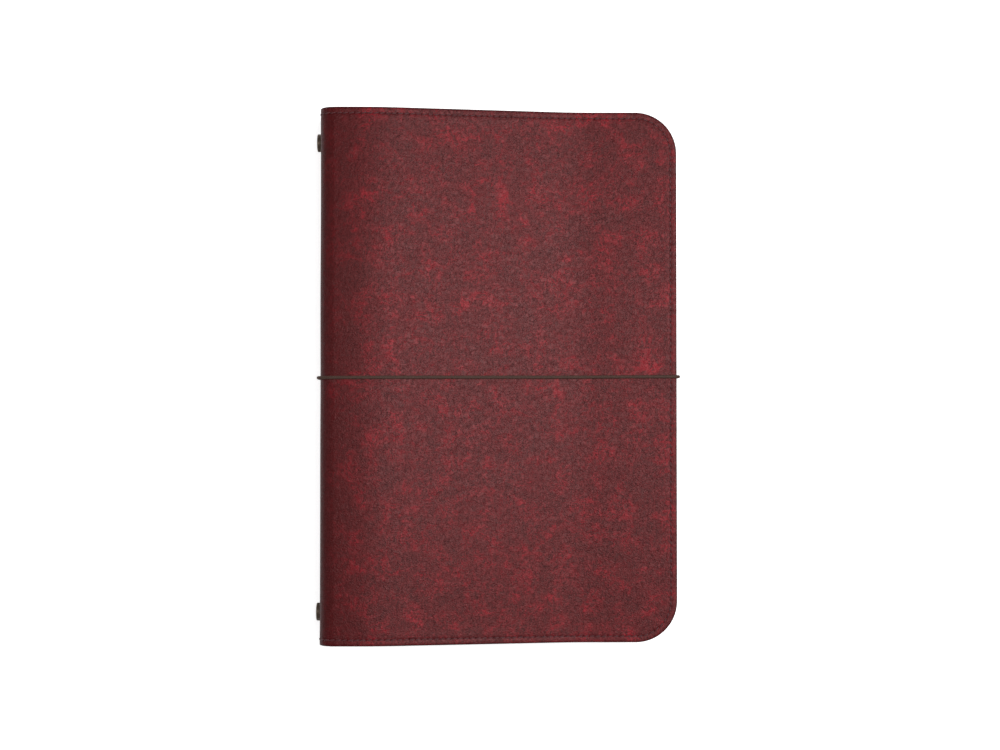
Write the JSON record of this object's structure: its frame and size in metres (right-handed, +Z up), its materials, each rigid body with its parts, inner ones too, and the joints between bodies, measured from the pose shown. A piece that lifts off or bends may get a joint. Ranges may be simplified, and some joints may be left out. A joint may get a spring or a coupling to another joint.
{
  "type": "coin album",
  "caption": "Ring-bound coin album: stitched leather cover, removable pocket sheets on opening rings and an elastic cord closure.",
  "frame": {"origin": "middle of the closed album's outline, on the plane that its back cover rests on", "axes": "+X from the spine to the fore-edge, +Y along the spine to the head, +Z up through the thickness"},
  "size_m": [0.1625, 0.237, 0.0414],
  "materials": {
    "cover_leather": "satin, mottled vegetable-tanned grain",
    "lining_leather": "matte split",
    "core_board": "matte",
    "thread": "waxed",
    "mechanism_steel": "nickel plated",
    "ring_chrome": "polished",
    "bronzed_metal": "dark bronzed, satin",
    "elastic": "braided",
    "clear_film": "clear gloss",
    "interleaf_card": "matte"
  },
  "bodies": {
    "back_cover": {"back_cover_leather": "cover_leather", "back_cover_core": "core_board", "back_cover_lining": "lining_leather", "back_cover_stitching": "thread", "elastic_cord": "elastic"},
    "spine": {"spine_leather": "cover_leather", "spine_core": "core_board", "spine_lining": "lining_leather", "spine_stitching": "thread", "back_fold_leather": "cover_leather", "back_fold_lining": "lining_leather", "front_fold_leather": "cover_leather", "front_fold_lining": "lining_leather", "ring_housing": "mechanism_steel", "binding_posts": "bronzed_metal", "binding_screws": "bronzed_metal", "cord_eyelet": "bronzed_metal", "cord_crimp": "bronzed_metal"},
    "front_cover": {"front_cover_leather": "cover_leather", "front_cover_core": "core_board", "front_cover_lining": "lining_leather", "front_cover_stitching": "thread"},
    "upper_ring_set": {"upper_hinge_plate": "mechanism_steel", "upper_ring_halves": "ring_chrome"},
    "lower_ring_set": {"lower_hinge_plate": "mechanism_steel", "lower_ring_halves": "ring_chrome"},
    "head_lever": {"head_lever": "mechanism_steel"},
    "tail_lever": {"tail_lever": "mechanism_steel"},
    "sheet_1": {"sheet_1_interleaf": "interleaf_card", "sheet_1_film": "clear_film", "sheet_1_binding_strip": "clear_film", "sheet_1_pockets": "clear_film"},
    "sheet_2": {"sheet_2_interleaf": "interleaf_card", "sheet_2_film": "clear_film", "sheet_2_binding_strip": "clear_film", "sheet_2_pockets": "clear_film"},
    "sheet_3": {"sheet_3_interleaf": "interleaf_card", "sheet_3_film": "clear_film", "sheet_3_binding_strip": "clear_film", "sheet_3_pockets": "clear_film"},
    "sheet_4": {"sheet_4_interleaf": "interleaf_card", "sheet_4_film": "clear_film", "sheet_4_binding_strip": "clear_film", "sheet_4_pockets": "clear_film"},
    "sheet_5": {"sheet_5_interleaf": "interleaf_card", "sheet_5_film": "clear_film", "sheet_5_binding_strip": "clear_film", "sheet_5_pockets": "clear_film"},
    "sheet_6": {"sheet_6_interleaf": "interleaf_card", "sheet_6_film": "clear_film", "sheet_6_binding_strip": "clear_film", "sheet_6_pockets": "clear_film"}
  },
  "joints": [
    {"name": "spine_fold", "type": "hinge", "parent": "back_cover", "child": "spine", "pos_m": [-0.0768, 0, 0.00245], "axis": [0, -1, 0], "range_deg": [0, 85], "deforming": ["back_fold_leather", "back_fold_lining", "elastic_cord"]},
    {"name": "front_cover_fold", "type": "hinge", "parent": "spine", "child": "front_cover", "pos_m": [-0.0768, 0, 0.03734], "axis": [0, -1, 0], "range_deg": [0, 102], "deforming": ["front_fold_leather", "front_fold_lining", "elastic_cord"]},
    {"name": "sheet_1_turn", "type": "hinge", "parent": "spine", "child": "sheet_1", "pos_m": [-0.05915, 0, 0.01989], "axis": [0, -1, 0], "range_deg": [-85, 0]},
    {"name": "sheet_2_turn", "type": "hinge", "parent": "spine", "child": "sheet_2", "pos_m": [-0.05915, 0, 0.01989], "axis": [0, -1, 0], "range_deg": [-85, 0]},
    {"name": "sheet_3_turn", "type": "hinge", "parent": "spine", "child": "sheet_3", "pos_m": [-0.05915, 0, 0.01989], "axis": [0, -1, 0], "range_deg": [-85, 0]},
    {"name": "sheet_4_turn", "type": "hinge", "parent": "spine", "child": "sheet_4", "pos_m": [-0.05915, 0, 0.01989], "axis": [0, -1, 0], "range_deg": [0, 100]},
    {"name": "sheet_5_turn", "type": "hinge", "parent": "spine", "child": "sheet_5", "pos_m": [-0.05915, 0, 0.01989], "axis": [0, -1, 0], "range_deg": [0, 100]},
    {"name": "sheet_6_turn", "type": "hinge", "parent": "spine", "child": "sheet_6", "pos_m": [-0.05915, 0, 0.01989], "axis": [0, -1, 0], "range_deg": [0, 100]},
    {"name": "ring_open", "type": "hinge", "parent": "spine", "child": "upper_ring_set", "pos_m": [-0.07285, 0, 0.02849], "axis": [0, -1, 0], "range_deg": [0, 12], "stiffness_Nm_per_rad": 0.3, "springref_deg": -11.46},
    {"name": "lower_ring_open", "type": "hinge", "parent": "spine", "child": "lower_ring_set", "pos_m": [-0.07285, 0, 0.0113], "axis": [0, 1, 0], "range_deg": [0, 12]},
    {"name": "head_lever_press", "type": "hinge", "parent": "spine", "child": "head_lever", "pos_m": [-0.07385, 0.101, 0.01989], "axis": [0, 0, 1], "range_deg": [0, 12]},
    {"name": "tail_lever_press", "type": "hinge", "parent": "spine", "child": "tail_lever", "pos_m": [-0.07385, -0.101, 0.01989], "axis": [0, 0, -1], "range_deg": [0, 12]}
  ],
  "couplings": [
    {"joint": "front_cover_fold", "follows": "spine_fold", "ratio": 1.2},
    {"joint": "sheet_1_turn", "follows": "spine_fold", "ratio": -1},
    {"joint": "sheet_2_turn", "follows": "spine_fold", "ratio": -1},
    {"joint": "sheet_3_turn", "follows": "spine_fold", "ratio": -1},
    {"joint": "sheet_4_turn", "follows": "spine_fold", "ratio": 1.1764},
    {"joint": "sheet_5_turn", "follows": "spine_fold", "ratio": 1.1764},
    {"joint": "sheet_6_turn", "follows": "spine_fold", "ratio": 1.1764},
    {"joint": "lower_ring_open", "follows": "ring_open", "ratio": 1},
    {"joint": "head_lever_press", "follows": "ring_open", "ratio": 1},
    {"joint": "tail_lever_press", "follows": "ring_open", "ratio": 1}
  ]
}
